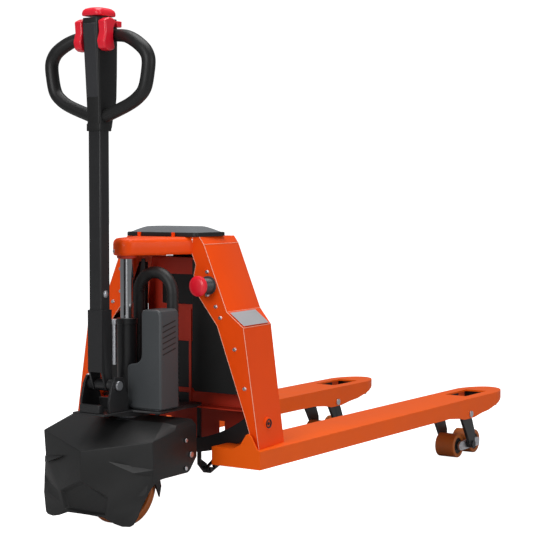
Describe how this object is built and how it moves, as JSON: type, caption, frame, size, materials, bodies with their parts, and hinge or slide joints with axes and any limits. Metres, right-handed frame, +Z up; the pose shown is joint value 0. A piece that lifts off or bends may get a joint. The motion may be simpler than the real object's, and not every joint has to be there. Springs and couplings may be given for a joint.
{
  "type": "electric pallet truck",
  "caption": "Walk-behind electric pallet truck with raised forks, folding roller legs, steering drive unit with bumper cover, upright tiller with looped handle, and a battery frame.",
  "frame": {"origin": "on the floor under the middle of the truck's overall width and length", "axes": "+Z up; +Y along the forks towards their tips; +X towards the right-hand fork as seen by someone holding the tiller and looking at the forks"},
  "size_m": [0.697, 1.926, 1.383],
  "materials": {
    "fork_paint": "gloss orange powder coat",
    "frame_paint": "gloss orange-red powder coat",
    "tray_paint": "satin dark red paint",
    "black_paint": "satin black powder coat",
    "bare_steel": "zinc plated",
    "rod_chrome": "polished hard chrome",
    "black_plastic": "fine grained",
    "grey_plastic": "satin moulded",
    "clear_plastic": "smooth smoked cover",
    "red_plastic": "smooth",
    "wheel_rubber": "cast polyurethane",
    "motor_metal": "painted dark grey",
    "hose_rubber": "ribbed",
    "plate_metal": "plain satin"
  },
  "bodies": {
    "chassis": {"fork_left": "fork_paint", "fork_right": "fork_paint", "column_left": "frame_paint", "column_right": "frame_paint", "cross_member": "black_paint", "nose": "frame_paint", "battery_tray": "tray_paint", "battery": "black_plastic", "side_panels": "black_plastic", "piston_rod": "rod_chrome", "data_plate": "plate_metal", "charge_socket": "black_plastic", "stop_switch_body": "grey_plastic", "column_screws": "bare_steel", "leg_pins": "bare_steel"},
    "lid": {"battery_lid": "clear_plastic"},
    "stop_button": {"stop_knob": "red_plastic"},
    "carrier": {"carrier_plate": "black_paint", "steer_bearing": "bare_steel"},
    "lift_linkage": {"torsion_tube": "black_paint", "lift_arms": "black_paint"},
    "rod_left": {"push_rod_left": "black_paint"},
    "rod_right": {"push_rod_right": "black_paint"},
    "left_leg": {"leg_left": "black_paint"},
    "right_leg": {"leg_right": "black_paint"},
    "left_bogie": {"bogie_left": "bare_steel"},
    "right_bogie": {"bogie_right": "bare_steel"},
    "roller_1": {"tyre_1": "wheel_rubber", "hub_1": "black_plastic"},
    "roller_2": {"tyre_2": "wheel_rubber", "hub_2": "black_plastic"},
    "roller_3": {"tyre_3": "wheel_rubber", "hub_3": "black_plastic"},
    "roller_4": {"tyre_4": "wheel_rubber", "hub_4": "black_plastic"},
    "drive_unit": {"cylinder": "black_paint", "mast_plate": "black_paint", "steer_post": "bare_steel", "drive_motor": "motor_metal", "drive_cover": "black_plastic", "wheel_guard": "black_paint", "drive_bolts": "bare_steel", "pump_unit": "bare_steel", "pump_cover": "grey_plastic", "hose": "hose_rubber", "tiller_bracket": "black_paint", "foot_block": "black_paint"},
    "drive_wheel": {"drive_tyre": "wheel_rubber", "drive_hub": "motor_metal"},
    "tiller": {"tiller_tube": "black_paint", "tiller_sleeve": "black_paint", "gas_spring": "bare_steel", "control_head": "black_plastic", "head_panel": "black_plastic", "handle_loop": "black_plastic"},
    "butterfly": {"throttle": "red_plastic"},
    "safety_button": {"belly_button": "red_plastic"},
    "lift_switch": {"lift_button": "red_plastic"},
    "lower_switch": {"lower_button": "red_plastic"},
    "horn_switch": {"horn_button": "red_plastic"}
  },
  "joints": [
    {"name": "lift", "type": "slide", "parent": "chassis", "child": "carrier", "axis": [0, 0, 1], "range_m": [0, 0.12], "deforming": ["hose"]},
    {"name": "steer", "type": "hinge", "parent": "carrier", "child": "drive_unit", "pos_m": [0, -0.766, 0.3], "axis": [0, 0, 1], "range_deg": [-82, 82]},
    {"name": "drive_wheel_spin", "type": "hinge", "parent": "drive_unit", "child": "drive_wheel", "pos_m": [0, -0.787, 0.105], "axis": [1, 0, 0], "continuous": true},
    {"name": "tiller_tilt", "type": "hinge", "parent": "drive_unit", "child": "tiller", "pos_m": [0, -0.867, 0.388], "axis": [1, 0, 0], "range_deg": [0, 80], "stiffness_Nm_per_rad": 60, "springref_deg": -22.92},
    {"name": "throttle_turn", "type": "hinge", "parent": "tiller", "child": "butterfly", "pos_m": [0, -0.89, 1.312], "axis": [1, 0, 0], "range_deg": [-20, 20], "stiffness_Nm_per_rad": 3},
    {"name": "safety_press", "type": "slide", "parent": "tiller", "child": "safety_button", "axis": [0, 0, -1], "range_m": [0, 0.004], "stiffness_N_per_m": 900, "springref_m": -0.006},
    {"name": "lift_press", "type": "slide", "parent": "tiller", "child": "lift_switch", "axis": [0, 0, -1], "range_m": [0, 0.003], "stiffness_N_per_m": 300, "springref_m": -0.003},
    {"name": "lower_press", "type": "slide", "parent": "tiller", "child": "lower_switch", "axis": [0, 0, -1], "range_m": [0, 0.003], "stiffness_N_per_m": 300, "springref_m": -0.003},
    {"name": "horn_press", "type": "slide", "parent": "tiller", "child": "horn_switch", "axis": [0, -1, 0], "range_m": [0, 0.003], "stiffness_N_per_m": 300, "springref_m": -0.003},
    {"name": "stop_press", "type": "slide", "parent": "chassis", "child": "stop_button", "axis": [0, 1, 0], "range_m": [0, 0.006]},
    {"name": "lid_hinge", "type": "hinge", "parent": "chassis", "child": "lid", "pos_m": [0, -0.472, 0.784], "axis": [1, 0, 0], "range_deg": [-95, 0]},
    {"name": "linkage_turn", "type": "hinge", "parent": "chassis", "child": "lift_linkage", "pos_m": [0, -0.382, 0.178], "axis": [1, 0, 0], "range_deg": [-47.3, 0]},
    {"name": "left_rod_slide", "type": "slide", "parent": "chassis", "child": "rod_left", "axis": [0, 1, 0], "range_m": [-0.0256, 0]},
    {"name": "left_leg_fold", "type": "hinge", "parent": "chassis", "child": "left_leg", "pos_m": [-0.2625, 0.637, 0.153], "axis": [1, 0, 0], "range_deg": [0, 63.6]},
    {"name": "left_bogie_level", "type": "hinge", "parent": "left_leg", "child": "left_bogie", "pos_m": [-0.2625, 0.70127, 0.04], "axis": [1, 0, 0], "range_deg": [-63.6, 0]},
    {"name": "right_rod_slide", "type": "slide", "parent": "chassis", "child": "rod_right", "axis": [0, 1, 0], "range_m": [-0.0256, 0]},
    {"name": "right_leg_fold", "type": "hinge", "parent": "chassis", "child": "right_leg", "pos_m": [0.2625, 0.637, 0.153], "axis": [1, 0, 0], "range_deg": [0, 63.6]},
    {"name": "right_bogie_level", "type": "hinge", "parent": "right_leg", "child": "right_bogie", "pos_m": [0.2625, 0.70127, 0.04], "axis": [1, 0, 0], "range_deg": [-63.6, 0]},
    {"name": "roller_1_spin", "type": "hinge", "parent": "left_bogie", "child": "roller_1", "pos_m": [-0.2625, 0.63927, 0.04], "axis": [1, 0, 0], "continuous": true},
    {"name": "roller_2_spin", "type": "hinge", "parent": "left_bogie", "child": "roller_2", "pos_m": [-0.2625, 0.76327, 0.04], "axis": [1, 0, 0], "continuous": true},
    {"name": "roller_3_spin", "type": "hinge", "parent": "right_bogie", "child": "roller_3", "pos_m": [0.2625, 0.63927, 0.04], "axis": [1, 0, 0], "continuous": true},
    {"name": "roller_4_spin", "type": "hinge", "parent": "right_bogie", "child": "roller_4", "pos_m": [0.2625, 0.76327, 0.04], "axis": [1, 0, 0], "continuous": true}
  ],
  "couplings": [
    {"joint": "linkage_turn", "follows": "lift", "rad_per_m": -6.8576},
    {"joint": "left_rod_slide", "follows": "lift", "ratio": -0.2117},
    {"joint": "left_leg_fold", "follows": "lift", "rad_per_m": 9.2293},
    {"joint": "left_bogie_level", "follows": "lift", "rad_per_m": -9.2293},
    {"joint": "right_rod_slide", "follows": "lift", "ratio": -0.2117},
    {"joint": "right_leg_fold", "follows": "lift", "rad_per_m": 9.2293},
    {"joint": "right_bogie_level", "follows": "lift", "rad_per_m": -9.2293}
  ]
}
